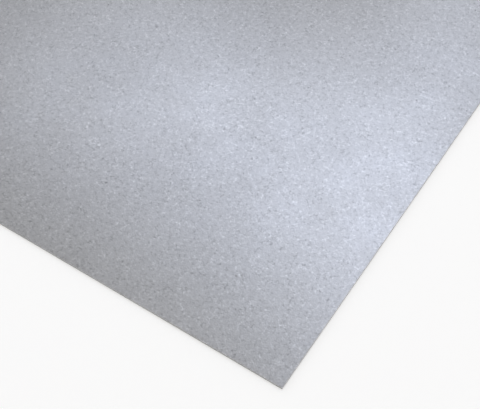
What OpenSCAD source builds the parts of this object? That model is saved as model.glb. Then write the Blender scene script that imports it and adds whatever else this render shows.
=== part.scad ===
// Flat galvanized steel sheet, cut to size on a guillotine shear.
//
// One piece of rolled steel. It lies on z = 0 with its origin at the middle of
// the underside, its length along X and its width along Y. A shear leaves the
// same four bands on every edge, from the face the blade entered downwards:
// a small rollover, a bright band where the blade cut, a rougher band where the
// steel broke away at a slant, and the sharp lower corner.

/* [Sheet] */
// Length of the sheet
sheet_length = 500; // [100:10:2000]
// Width of the sheet
sheet_width = 250; // [50:10:1000]
// Thickness of the sheet, with its zinc coating
sheet_thickness = 1; // [0.5:0.1:3]

/* [Sheared edge, as a percentage of the thickness] */
// Radius that the blade rolls the upper edge to
rollover_share = 12; // [5:1:25]
// Depth that the blade cuts before the steel breaks
cut_share = 45; // [30:1:60]
// Gap between the two blades, which is how far the break slants inwards
blade_gap_share = 8; // [3:1:15]

/* [Hidden] */

percent = sheet_thickness / 100;
rollover_radius = rollover_share * percent;
break_height = (100 - cut_share) * percent;
break_slant = blade_gap_share * percent;

// Facets of a full circle, so that a rolled edge has a quarter of them
rollover_facets = 48;

// The sheet's outline seen from one end: its width across, its thickness up
module sheared_section(width) {
  // everything between the two rollovers, down to the underside's sharp corners
  polygon([
    [-width / 2 + break_slant, 0],
    [width / 2 - break_slant, 0],
    [width / 2, break_height],
    [width / 2, sheet_thickness - rollover_radius],
    [width / 2 - rollover_radius, sheet_thickness],
    [-width / 2 + rollover_radius, sheet_thickness],
    [-width / 2, sheet_thickness - rollover_radius],
    [-width / 2, break_height],
  ]);
  // the rollovers themselves
  for (side = [-1, 1])
    translate([side * (width / 2 - rollover_radius), sheet_thickness - rollover_radius])
      circle(r = rollover_radius, $fn = rollover_facets);
}

// A bar of that outline along X, longer than it is needed
module sheared_across_width() {
  bar_length = sheet_length + 2 * sheet_thickness;
  translate([-bar_length / 2, 0, 0])
    rotate([90, 0, 90])
      linear_extrude(height = bar_length)
        sheared_section(sheet_width);
}

// The same along Y, for the two short edges
module sheared_across_length() {
  bar_length = sheet_width + 2 * sheet_thickness;
  translate([0, bar_length / 2, 0])
    rotate([90, 0, 0])
      linear_extrude(height = bar_length)
        sheared_section(sheet_length);
}

// Two pairs of parallel cuts, so the corners come out square and sharp
module galvanized_sheet() {
  color([0.71, 0.72, 0.75])
    intersection() {
      sheared_across_width();
      sheared_across_length();
    }
}

galvanized_sheet();
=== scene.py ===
"""A flat galvanized steel sheet on a pale studio floor, laid out as a Blender add-on.

Lengths are in metres. The sheet lies on z = 0, with its length along X and its width along Y.
"""

import math

import bmesh
import bpy
from bpy.props import FloatProperty, FloatVectorProperty, PointerProperty, StringProperty
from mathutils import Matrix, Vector


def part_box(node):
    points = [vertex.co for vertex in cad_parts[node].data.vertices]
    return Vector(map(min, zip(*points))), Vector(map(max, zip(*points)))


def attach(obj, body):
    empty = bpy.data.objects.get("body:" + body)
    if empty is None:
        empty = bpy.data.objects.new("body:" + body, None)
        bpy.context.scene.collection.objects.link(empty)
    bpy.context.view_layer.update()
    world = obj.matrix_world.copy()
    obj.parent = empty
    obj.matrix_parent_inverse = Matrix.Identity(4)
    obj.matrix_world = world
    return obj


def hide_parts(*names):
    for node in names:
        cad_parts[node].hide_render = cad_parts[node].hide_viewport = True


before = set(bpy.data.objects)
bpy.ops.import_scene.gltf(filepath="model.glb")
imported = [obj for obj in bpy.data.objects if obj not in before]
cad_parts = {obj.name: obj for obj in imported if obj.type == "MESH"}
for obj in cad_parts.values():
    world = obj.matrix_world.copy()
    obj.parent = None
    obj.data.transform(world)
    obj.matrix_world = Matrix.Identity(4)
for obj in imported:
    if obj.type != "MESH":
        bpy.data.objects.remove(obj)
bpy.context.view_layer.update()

bl_info = {
    "name": "Galvanized Steel Sheet",
    "version": (1, 0, 0),
    "blender": (4, 5, 0),
    "location": "View3D > Sidebar > Sheet",
    "description": "Cuts a flat galvanized steel sheet, gives it its zinc finish and lights it",
    "category": "Object",
}

NODE = "galvanized_sheet"
LOW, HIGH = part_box(NODE)
MM = 0.001


# ---------------------------------------------------------------- settings


class SheetCut(bpy.types.PropertyGroup):
    """How the guillotine leaves the sheet's edge, as shares of the thickness."""

    rollover: FloatProperty(
        name="Rollover",
        description="Radius that the blade rolls the upper edge to",
        default=0.12,
        min=0.05,
        max=0.25,
        subtype="FACTOR",
    )
    cut_depth: FloatProperty(
        name="Cut depth",
        description="Depth that the blade cuts before the steel breaks",
        default=0.45,
        min=0.3,
        max=0.6,
        subtype="FACTOR",
    )
    blade_gap: FloatProperty(
        name="Blade gap",
        description="How far the broken part of the edge slants inwards",
        default=0.08,
        min=0.03,
        max=0.15,
        subtype="FACTOR",
    )


class ZincFinish(bpy.types.PropertyGroup):
    """The zinc coating and the bare steel of the cut edge."""

    zinc: StringProperty(
        name="Zinc",
        description="Colour of the zinc coating, as an sRGB hex value",
        default="#CBCAC9",
    )
    steel: StringProperty(
        name="Cut steel",
        description="Colour of the bare steel that the blade cut, as an sRGB hex value",
        default="#A6A6A8",
    )
    broken_steel: StringProperty(
        name="Broken steel",
        description="Colour of the steel where it broke away, as an sRGB hex value",
        default="#828180",
    )
    spangle: FloatProperty(
        name="Spangle",
        description="Width of a grain of the minimised spangle",
        default=1.8 * MM,
        min=1.0 * MM,
        max=50 * MM,
        precision=4,
        unit="LENGTH",
    )
    # painted highlight and shade: how much lighter or darker a grain line is drawn
    border: FloatProperty(
        name="Border",
        description="How much lighter or darker than the rest the line between two grains is",
        default=0.31,
        min=0.0,
        max=0.4,
        subtype="FACTOR",
    )
    crystal: FloatProperty(
        name="Crystal",
        description="Width of the small crystals that a grain is made of",
        default=0.65 * MM,
        min=0.3 * MM,
        max=5 * MM,
        precision=5,
        unit="LENGTH",
    )
    # painted glints and shade: how much lighter or darker a crystal's colour is drawn
    contrast: FloatProperty(
        name="Contrast",
        description="How much lighter or darker than the rest a crystal can be",
        default=0.125,
        min=0.0,
        max=0.3,
        subtype="FACTOR",
    )
    relief: FloatProperty(
        name="Relief",
        description="Depth of the fine relief that the skin-pass rolls leave",
        default=0.03 * MM,
        min=0.0,
        max=0.5 * MM,
        precision=5,
        unit="LENGTH",
    )
    roughness: FloatProperty(
        name="Roughness",
        description="Mean roughness of the zinc",
        default=0.31,
        min=0.05,
        max=0.9,
        subtype="FACTOR",
    )
    gloss_spread: FloatProperty(
        name="Gloss spread",
        description="How far the roughness strays from its mean",
        default=0.015,
        min=0.0,
        max=0.05,
        subtype="FACTOR",
    )
    # painted sheen and shade: how much brighter or duller a broad cloud is drawn in the zinc's
    # colour
    cloud: FloatProperty(
        name="Cloud",
        description="How much brighter or duller than the rest a broad cloud in the zinc can be",
        default=0.027,
        min=0.0,
        max=0.1,
        subtype="FACTOR",
    )
    # offset of the painted sheen and shade clouds, which settles where they lie on the sheet
    sheen_cloud_offset: FloatVectorProperty(
        name="Coil place",
        description="Where in the coil the sheet was cut, which settles where its clouds lie",
        default=(0.7825, 3.6375),
        size=2,
        unit="LENGTH",
    )


class SheetStage(bpy.types.PropertyGroup):
    """The floor, the light and the camera."""

    floor: StringProperty(
        name="Floor",
        description="Colour of the studio floor, as an sRGB hex value",
        default="#FCFCFC",
    )
    daylight: StringProperty(
        name="Daylight",
        description="Colour of the lamps behind the sheet, as an sRGB hex value",
        default="#DBE6FF",
    )
    room: StringProperty(
        name="Room",
        description="Colour of the room overhead, as an sRGB hex value",
        default="#FFFCF6",
    )
    floor_glow: FloatProperty(
        name="Floor glow",
        description="How much lighter the floor looks than the lamps make it",
        default=0.27,
        min=0.0,
        max=1.0,
    )
    room_light: FloatProperty(
        name="Room light",
        description="Brightness of the room around the lamps",
        default=0.343,
        min=0.0,
        max=1.0,
    )
    horizon_light: FloatProperty(
        name="Horizon light",
        description="Brightness of the room low down, where the floor meets it",
        default=0.95,
        min=0.0,
        max=1.0,
    )
    azimuth: FloatProperty(
        name="Azimuth",
        description="Where the camera stands round the sheet, from the front towards the right",
        default=math.radians(33.1),
        subtype="ANGLE",
    )
    elevation: FloatProperty(
        name="Elevation",
        description="How far above the horizon the camera stands",
        default=math.radians(54.8),
        subtype="ANGLE",
    )
    distance: FloatProperty(
        name="Distance",
        description="From the camera to the point it looks at",
        default=453 * MM,
        unit="LENGTH",
    )
    lens: FloatProperty(
        name="Lens",
        description="Focal length, in millimetres for a 36 mm wide sensor",
        default=85.0,
    )
    from_end: FloatProperty(
        name="From the end",
        description="How far in from the right end the camera looks",
        default=56.8 * MM,
        unit="LENGTH",
    )
    from_front: FloatProperty(
        name="From the front",
        description="How far in from the front edge the camera looks",
        default=59.3 * MM,
        unit="LENGTH",
    )


# ---------------------------------------------------------------- helpers


def linear(hex_colour):
    """An sRGB hex colour as linear RGBA."""
    channels = [int(hex_colour.lstrip("#")[i : i + 2], 16) / 255 for i in (0, 2, 4)]
    return [c / 12.92 if c <= 0.04045 else ((c + 0.055) / 1.055) ** 2.4 for c in channels] + [1]


def add(tree, kind, inputs=None, **settings):
    """Adds a node, sets its properties, and sets or links its inputs."""
    made = tree.nodes.new(kind)
    for name, value in settings.items():
        setattr(made, name, value)
    for name, value in (inputs or {}).items():
        if isinstance(value, bpy.types.NodeSocket):
            tree.links.new(value, made.inputs[name])
        else:
            made.inputs[name].default_value = value
    return made


def new_material(name):
    """An empty node material with only its output."""
    material = bpy.data.materials.new(name)
    material.use_nodes = True
    tree = material.node_tree
    tree.nodes.clear()
    return material, tree


def deselect():
    """Leaves edit mode and deselects everything."""
    if bpy.context.object and bpy.context.object.mode != "OBJECT":
        bpy.ops.object.mode_set(mode="OBJECT")
    bpy.ops.object.select_all(action="DESELECT")


def pick(obj, faces=None, edges=None, verts=None):
    """In edit mode, selects the faces, edges or vertices that the given test says yes to."""
    kind = "FACE" if faces else "EDGE" if edges else "VERT"
    bpy.ops.mesh.select_mode(type=kind)
    bpy.ops.mesh.select_all(action="DESELECT")
    mesh = bmesh.from_edit_mesh(obj.data)
    items = mesh.faces if faces else mesh.edges if edges else mesh.verts
    test = faces or edges or verts
    for item in items:
        item.select_set(bool(test(item)))
    mesh.select_flush_mode()
    bmesh.update_edit_mesh(obj.data)


# ---------------------------------------------------------------- materials


def ragged(tree, place, size, reach):
    """Pushes places about by a noise, so that cells drawn there get ragged borders."""
    noise = add(tree, "ShaderNodeTexNoise", {"Vector": place, "Scale": 1 / size, "Detail": 2.0})
    push = add(
        tree,
        "ShaderNodeVectorMath",
        {0: noise.outputs["Color"], 1: (0.5, 0.5, 0.5)},
        operation="SUBTRACT",
    )
    pushed = add(
        tree,
        "ShaderNodeVectorMath",
        {0: push.outputs[0], 1: (reach, reach, reach), 2: place},
        operation="MULTIPLY_ADD",
    )
    return pushed.outputs[0]


def grain_lines(tree, place, finish):
    """Lines about 0.15 mm wide where grains meet, with painted highlight and shade: each line is
    drawn lighter or darker as it faces towards or away from the light.
    """
    borders = add(
        tree,
        "ShaderNodeTexVoronoi",
        {
            "Vector": ragged(tree, place, 0.6 * finish.spangle, 0.8 * finish.spangle),
            "Scale": 1 / finish.spangle,
        },
        feature="DISTANCE_TO_EDGE",
    )
    line = add(
        tree,
        "ShaderNodeMapRange",
        {
            "Value": borders.outputs["Distance"],
            "From Max": 0.08,
            "To Min": 1.0,
            "To Max": 0.0,
        },
        clamp=True,
        interpolation_type="SMOOTHSTEP",
    )
    # the painted highlight on a line turns to painted shade about every 1.5 mm
    line_light_side = add(tree, "ShaderNodeTexNoise", {"Vector": place, "Scale": 1 / (1.5 * MM)})
    line_shade = add(
        tree,
        "ShaderNodeMapRange",
        {
            "Value": line_light_side.outputs[0],
            "From Min": 0.4,
            "From Max": 0.6,
            "To Min": -finish.border,
            "To Max": finish.border,
        },
        clamp=True,
    )
    lines = add(
        tree,
        "ShaderNodeMath",
        {0: line.outputs[0], 1: line_shade.outputs[0]},
        operation="MULTIPLY",
    )
    return lines.outputs[0]


def speckle(tree, place, facets, finish):
    """Painted glints and shade on the crystals and grain lines, as how much lighter or darker
    than the rest they are.
    """
    # painted glints and shade: most crystals keep the zinc's colour, and a few are drawn lighter
    # or darker, as if tilted towards or away from the light
    turn = add(
        tree,
        "ShaderNodeMapRange",
        {"Value": facets.outputs["Red"], "To Min": -1.0, "To Max": 1.0},
    )
    tilt_glint = add(tree, "ShaderNodeMath", {0: turn.outputs[0], 1: 3.0}, operation="POWER")
    marks = add(
        tree,
        "ShaderNodeMath",
        {0: tilt_glint.outputs[0], 1: finish.contrast, 2: grain_lines(tree, place, finish)},
        operation="MULTIPLY_ADD",
    )
    # the skin pass presses some patches, about 5 mm wide, flatter than others, and there the
    # painted glints and shade are weaker
    patches = add(tree, "ShaderNodeTexNoise", {"Vector": place, "Scale": 1 / (5 * MM)})
    strength = add(
        tree,
        "ShaderNodeMapRange",
        {
            "Value": patches.outputs[0],
            "From Min": 0.3,
            "From Max": 0.7,
            "To Min": 0.6,
            "To Max": 1.4,
        },
    )
    pressed = add(
        tree,
        "ShaderNodeMath",
        {0: marks.outputs[0], 1: strength.outputs[0]},
        operation="MULTIPLY",
    )
    return pressed.outputs[0]


def painted_sheen_clouds(tree, place, finish):
    """Painted sheen and shade: soft clouds about 50 mm wide drawn lighter and darker in the
    zinc's colour, partly uneven zinc that the bath and the air knives left.
    """
    # the painted sheen clouds are shifted by an offset that settles where they lie
    coil = add(
        tree,
        "ShaderNodeVectorMath",
        {0: place, 1: (*finish.sheen_cloud_offset, 0.0)},
        operation="ADD",
    )
    drift = add(
        tree,
        "ShaderNodeTexNoise",
        {"Vector": coil.outputs[0], "Scale": 1 / (50 * MM), "Detail": 0.0},
    )
    cloud_shade = add(
        tree,
        "ShaderNodeMapRange",
        {
            "Value": drift.outputs[0],
            "From Min": 0.3,
            "From Max": 0.7,
            "To Min": 1 + finish.cloud,
            "To Max": 1 - finish.cloud,
        },
    )
    return cloud_shade.outputs[0]


def uneven_gloss(tree, place, facets, finish):
    """Roughness that differs from crystal to crystal, and over clouds about 20 mm wide."""
    crystal_gloss = add(
        tree,
        "ShaderNodeMapRange",
        {
            "Value": facets.outputs["Green"],
            "To Min": finish.roughness - finish.gloss_spread,
            "To Max": finish.roughness + finish.gloss_spread,
        },
    )
    # the zinc is duller where it froze slowly
    clouds = add(
        tree,
        "ShaderNodeTexNoise",
        {"Vector": place, "Scale": 1 / (20 * MM), "Detail": 3.0},
    )
    cloud_gloss = add(
        tree,
        "ShaderNodeMapRange",
        {
            "Value": clouds.outputs[0],
            "From Min": 0.3,
            "From Max": 0.7,
            "To Min": -finish.gloss_spread,
            "To Max": finish.gloss_spread,
        },
    )
    dull = add(
        tree,
        "ShaderNodeMath",
        {0: crystal_gloss.outputs[0], 1: cloud_gloss.outputs[0]},
        operation="ADD",
    )
    return dull.outputs[0]


def minimised_spangle_zinc(finish):
    """Hot-dip zinc that cooled with a minimised spangle and then had a light skin pass.

    The eye gets a satin grey with a fine even speckle: small crystals with painted glints and
    shade, each drawn a little lighter or darker, thin lines with painted highlight and shade
    between the grains that they grew in, a slight orange-peel relief, soft painted sheen and
    shade clouds in its brightness, and clouds in its gloss.
    """
    material, tree = new_material("minimised_spangle_zinc")
    place = add(tree, "ShaderNodeTexCoord").outputs["Object"]
    crystals = add(
        tree,
        "ShaderNodeTexVoronoi",
        {
            "Vector": ragged(tree, place, finish.crystal, finish.crystal),
            "Scale": 1 / finish.crystal,
        },
    )
    facets = add(tree, "ShaderNodeSeparateColor", {"Color": crystals.outputs["Color"]})
    # the painted glints and shade of the speckle and the painted sheen clouds scale the zinc's
    # colour
    shade = add(
        tree,
        "ShaderNodeMath",
        {
            0: speckle(tree, place, facets, finish),
            1: painted_sheen_clouds(tree, place, finish),
        },
        operation="ADD",
    )
    tint = add(
        tree,
        "ShaderNodeVectorMath",
        {0: linear(finish.zinc)[:3], "Scale": shade.outputs[0]},
        operation="SCALE",
    )
    # the real relief is a few thousandths of a millimetre deep; it is drawn deeper to show
    peel = add(
        tree,
        "ShaderNodeTexNoise",
        {"Vector": place, "Scale": 1 / finish.crystal, "Detail": 1.0},
    )
    relief = add(
        tree,
        "ShaderNodeBump",
        {"Height": peel.outputs[0], "Distance": finish.relief, "Strength": 1.0},
    )
    surface = add(
        tree,
        "ShaderNodeBsdfPrincipled",
        {
            "Base Color": tint.outputs[0],
            "Metallic": 1.0,
            "Roughness": uneven_gloss(tree, place, facets, finish),
            "Normal": relief.outputs[0],
        },
    )
    add(tree, "ShaderNodeOutputMaterial", {"Surface": surface.outputs[0]})
    return material


def sheared_steel(finish, break_height):
    """Bare low-carbon steel, cut half through by the blade and then broken.

    The cut half is bright and streaked by the blade; the broken half is dull and grainy.
    """
    material, tree = new_material("sheared_steel")
    place = add(tree, "ShaderNodeTexCoord").outputs["Object"]
    height = add(tree, "ShaderNodeSeparateXYZ", {"Vector": place}).outputs["Z"]
    streaks = add(
        tree,
        "ShaderNodeMapping",
        {"Vector": place, "Scale": (1 / (0.4 * MM), 1 / (0.4 * MM), 1 / (4 * MM))},
    )
    streak = add(tree, "ShaderNodeTexNoise", {"Vector": streaks.outputs[0], "Scale": 1.0})
    cut = add(
        tree,
        "ShaderNodeMapRange",
        {
            "Value": height,
            "From Min": break_height - 0.03 * MM,
            "From Max": break_height + 0.03 * MM,
        },
        clamp=True,
    )
    colour = add(
        tree,
        "ShaderNodeMix",
        {0: cut.outputs[0], 6: linear(finish.broken_steel), 7: linear(finish.steel)},
        data_type="RGBA",
    )
    shade = add(
        tree,
        "ShaderNodeMapRange",
        {"Value": streak.outputs[0], "To Min": 0.8, "To Max": 1.2},
    )
    tint = add(
        tree,
        "ShaderNodeVectorMath",
        {0: colour.outputs[2], "Scale": shade.outputs[0]},
        operation="SCALE",
    )
    dull = add(
        tree,
        "ShaderNodeMapRange",
        {"Value": cut.outputs[0], "To Min": 0.6, "To Max": 0.35},
    )
    surface = add(
        tree,
        "ShaderNodeBsdfPrincipled",
        {
            "Base Color": tint.outputs[0],
            "Metallic": 1.0,
            "Roughness": dull.outputs[0],
        },
    )
    add(tree, "ShaderNodeOutputMaterial", {"Surface": surface.outputs[0]})
    return material


def white_emulsion(stage):
    """Matt white emulsion, rolled on: almost even, with a very faint stipple.

    The camera and the sheet's reflections see it a little lighter than the lamps make it,
    so that it looks white at a light level that doesn't bleach the zinc.
    """
    material, tree = new_material("matt_white_emulsion")
    place = add(tree, "ShaderNodeTexCoord").outputs["Object"]
    # a paint roller leaves a stipple of about 3 mm
    stipple = add(tree, "ShaderNodeTexNoise", {"Vector": place, "Scale": 1 / (3 * MM)})
    shade = add(
        tree,
        "ShaderNodeMapRange",
        {"Value": stipple.outputs[0], "To Min": 0.99, "To Max": 1.01},
    )
    paint = add(
        tree,
        "ShaderNodeVectorMath",
        {0: linear(stage.floor)[:3], "Scale": shade.outputs[0]},
        operation="SCALE",
    )
    ray = add(tree, "ShaderNodeLightPath")
    seen = add(
        tree,
        "ShaderNodeMath",
        {0: ray.outputs["Is Camera Ray"], 1: ray.outputs["Is Glossy Ray"]},
        operation="MAXIMUM",
    )
    glow = add(
        tree,
        "ShaderNodeMath",
        {0: seen.outputs[0], 1: stage.floor_glow},
        operation="MULTIPLY",
    )
    surface = add(
        tree,
        "ShaderNodeBsdfPrincipled",
        {
            "Base Color": paint.outputs[0],
            "Roughness": 0.9,
            "Specular IOR Level": 0.0,
            "Emission Color": (1, 1, 1, 1),
            "Emission Strength": glow.outputs[0],
        },
    )
    add(tree, "ShaderNodeOutputMaterial", {"Surface": surface.outputs[0]})
    return material


def studio_room(stage):
    """A plain room: white low down, where the floor meets it, and dimmer and warmer overhead."""
    world = bpy.data.worlds.new("studio_room")
    world.use_nodes = True
    tree = world.node_tree
    tree.nodes.clear()
    way = add(tree, "ShaderNodeTexCoord").outputs["Generated"]
    rise = add(tree, "ShaderNodeSeparateXYZ", {"Vector": way}).outputs["Z"]
    # it dims from 8 to 40 degrees above the horizon
    climb = add(
        tree,
        "ShaderNodeMapRange",
        {
            "Value": rise,
            "From Min": math.sin(math.radians(8)),
            "From Max": math.sin(math.radians(40)),
        },
        clamp=True,
        interpolation_type="SMOOTHSTEP",
    )
    horizon = [stage.horizon_light] * 3 + [1]
    overhead = [c * stage.room_light for c in linear(stage.room)[:3]] + [1]
    glow = add(
        tree,
        "ShaderNodeMix",
        {0: climb.outputs[0], 6: horizon, 7: overhead},
        data_type="RGBA",
    )
    light = add(tree, "ShaderNodeBackground", {"Color": glow.outputs[2], "Strength": 1.0})
    add(tree, "ShaderNodeOutputWorld", {"Surface": light.outputs[0]})
    return world


# ---------------------------------------------------------------- operators


class SHEET_OT_cut(bpy.types.Operator):
    """Cut the sheet: a box whose edges are rolled over, cut and broken as a shear leaves them"""

    bl_idname = "sheet.cut"
    bl_label = "Cut the Sheet"
    bl_options = {"REGISTER", "UNDO"}

    def execute(self, context):
        cut = context.scene.sheet_cut
        finish = context.scene.zinc_finish
        size = HIGH - LOW
        middle = (LOW + HIGH) / 2
        thickness = size.z
        break_height = LOW.z + (1 - cut.cut_depth) * thickness
        slant = cut.blade_gap * thickness
        radius = cut.rollover * thickness
        near = 0.01 * thickness

        deselect()
        bpy.ops.mesh.primitive_cube_add(size=1, location=middle, scale=size)
        sheet = context.object
        sheet.name = "zinc_coated_sheet"
        bpy.ops.object.transform_apply(location=True, rotation=True, scale=True)

        bpy.ops.object.mode_set(mode="EDIT")
        # the line where the blade's cut ends and the break begins
        bpy.ops.mesh.select_all(action="SELECT")
        bpy.ops.mesh.bisect(plane_co=(0, 0, break_height), plane_no=(0, 0, 1))
        # below that line the edge slants inwards
        pick(sheet, verts=lambda v: v.co.z < LOW.z + near)
        bpy.ops.transform.resize(
            value=(1 - 2 * slant / size.x, 1 - 2 * slant / size.y, 1),
            center_override=middle,
        )
        # the blade rolls the upper edge over
        pick(sheet, edges=lambda e: all(v.co.z > HIGH.z - near for v in e.verts))
        bpy.ops.mesh.bevel(offset=radius, segments=5, profile=0.5, affect="EDGES")
        # a narrow frame round each face keeps the middle of the face truly flat
        pick(sheet, faces=lambda f: abs(f.normal.z) > 0.999)
        bpy.ops.mesh.inset(thickness=0.5 * thickness, depth=0)
        # the break starts at a crisp line
        pick(
            sheet,
            edges=lambda e: all(abs(v.co.z - break_height) < near for v in e.verts),
        )
        bpy.ops.mesh.mark_sharp()
        bpy.ops.object.mode_set(mode="OBJECT")

        sheet.data.materials.append(minimised_spangle_zinc(finish))
        sheet.data.materials.append(sheared_steel(finish, break_height))
        bpy.ops.object.mode_set(mode="EDIT")
        # the rollover keeps its zinc, and the flat of the cut below it is bare
        pick(
            sheet,
            faces=lambda f: abs(f.normal.z) < 0.2 and f.calc_center_median().z < HIGH.z - radius,
        )
        sheet.active_material_index = 1
        bpy.ops.object.material_slot_assign()
        bpy.ops.object.mode_set(mode="OBJECT")
        bpy.ops.object.shade_smooth_by_angle(angle=math.radians(40))
        modifier = sheet.modifiers.new("flat_faces", "WEIGHTED_NORMAL")
        modifier.keep_sharp = True
        bpy.ops.object.modifier_apply(modifier=modifier.name)

        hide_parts(NODE)
        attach(sheet, "root")
        return {"FINISHED"}


def towards(azimuth, elevation):
    """The direction at an angle round from the front and an angle above the horizon."""
    return Vector(
        (
            math.sin(azimuth) * math.cos(elevation),
            -math.cos(azimuth) * math.cos(elevation),
            math.sin(elevation),
        )
    )


def lamp(name, kind, target, colour, azimuth, elevation, distance):
    """A lamp aimed at a point, from a direction in degrees as seen from there."""
    out = towards(math.radians(azimuth), math.radians(elevation))
    deselect()
    bpy.ops.object.light_add(type=kind, location=target + out * distance)
    made = bpy.context.object
    made.name = name
    made.rotation_euler = out.to_track_quat("Z", "Y").to_euler()
    made.data.color = linear(colour)[:3]
    return made


def softbox(name, target, colour, azimuth, elevation, distance, width, height, radiance):
    """A rectangular softbox, which looks white at a radiance of 1."""
    made = lamp(name, "AREA", target, colour, azimuth, elevation, distance)
    made.data.shape = "RECTANGLE"
    made.data.size = width
    made.data.size_y = height
    # a lamp of one square metre and four watts looks as bright as white
    made.data.energy = radiance * 4 * width * height
    return made


def window(name, target, colour, azimuth, elevation, width, strength):
    """A far window: a round patch of even light, with its width in degrees."""
    made = lamp(name, "SUN", target, colour, azimuth, elevation, 2.0)
    made.data.angle = math.radians(width)
    made.data.energy = strength
    return made


class SHEET_OT_stage(bpy.types.Operator):
    """Set the sheet on a pale floor under soft lamps, and place the camera"""

    bl_idname = "sheet.stage"
    bl_label = "Set the Stage"
    bl_options = {"REGISTER", "UNDO"}

    def execute(self, context):
        stage = context.scene.sheet_stage
        scene = context.scene
        look = Vector((HIGH.x - stage.from_end, LOW.y + stage.from_front, HIGH.z))

        deselect()
        bpy.ops.mesh.primitive_circle_add(vertices=96, radius=20, fill_type="NGON")
        floor = context.object
        floor.name = "studio_floor"
        floor.data.materials.append(white_emulsion(stage))

        # three softboxes behind the sheet are what its upper face reflects to the camera
        softbox(
            "side_softbox",
            look,
            stage.daylight,
            azimuth=192.6,
            elevation=53.7,
            distance=1.5,
            width=0.16,
            height=0.99,
            radiance=1.19,
        )
        softbox(
            "key_softbox",
            look,
            stage.daylight,
            azimuth=205.2,
            elevation=52.8,
            distance=1.5,
            width=0.47,
            height=0.19,
            radiance=1.78,
        )
        softbox(
            "strip_softbox",
            look,
            stage.daylight,
            azimuth=225.3,
            elevation=46.8,
            distance=1.5,
            width=0.48,
            height=0.12,
            radiance=1.75,
        )
        # a large window on the camera's side lights the front edges and the floor
        window(
            "front_window",
            look,
            "#FFFFFF",
            azimuth=75,
            elevation=55,
            width=80,
            strength=0.8,
        )
        # a low one behind the sheet gives it a sheen from lower viewpoints
        window(
            "low_window",
            look,
            stage.daylight,
            azimuth=240,
            elevation=22,
            width=24,
            strength=0.12,
        )
        scene.world = studio_room(stage)

        out = towards(stage.azimuth, stage.elevation)
        deselect()
        bpy.ops.object.camera_add(location=look + out * stage.distance)
        camera = context.object
        camera.name = "studio_camera"
        camera.rotation_euler = out.to_track_quat("Z", "Y").to_euler()
        camera.data.sensor_width = 36.0
        camera.data.lens = stage.lens
        scene.camera = camera
        scene.view_settings.view_transform = "Standard"
        return {"FINISHED"}


class SHEET_PT_panel(bpy.types.Panel):
    """The sheet's settings and its two steps"""

    bl_label = "Galvanized Sheet"
    bl_space_type = "VIEW_3D"
    bl_region_type = "UI"
    bl_category = "Sheet"

    def draw(self, context):
        column = self.layout.column()
        for group in ("sheet_cut", "zinc_finish", "sheet_stage"):
            settings = getattr(context.scene, group)
            for name in settings.__annotations__:
                column.prop(settings, name)
        column.operator("sheet.cut")
        column.operator("sheet.stage")


CLASSES = (SheetCut, ZincFinish, SheetStage, SHEET_OT_cut, SHEET_OT_stage, SHEET_PT_panel)


def register():
    for part in CLASSES:
        bpy.utils.register_class(part)
    bpy.types.Scene.sheet_cut = PointerProperty(type=SheetCut)
    bpy.types.Scene.zinc_finish = PointerProperty(type=ZincFinish)
    bpy.types.Scene.sheet_stage = PointerProperty(type=SheetStage)


def unregister():
    del bpy.types.Scene.sheet_stage
    del bpy.types.Scene.zinc_finish
    del bpy.types.Scene.sheet_cut
    for part in reversed(CLASSES):
        bpy.utils.unregister_class(part)


def main():
    """Registers the classes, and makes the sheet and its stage."""
    register()
    bpy.ops.sheet.cut()
    bpy.ops.sheet.stage()


if __name__ == "__main__":
    main()
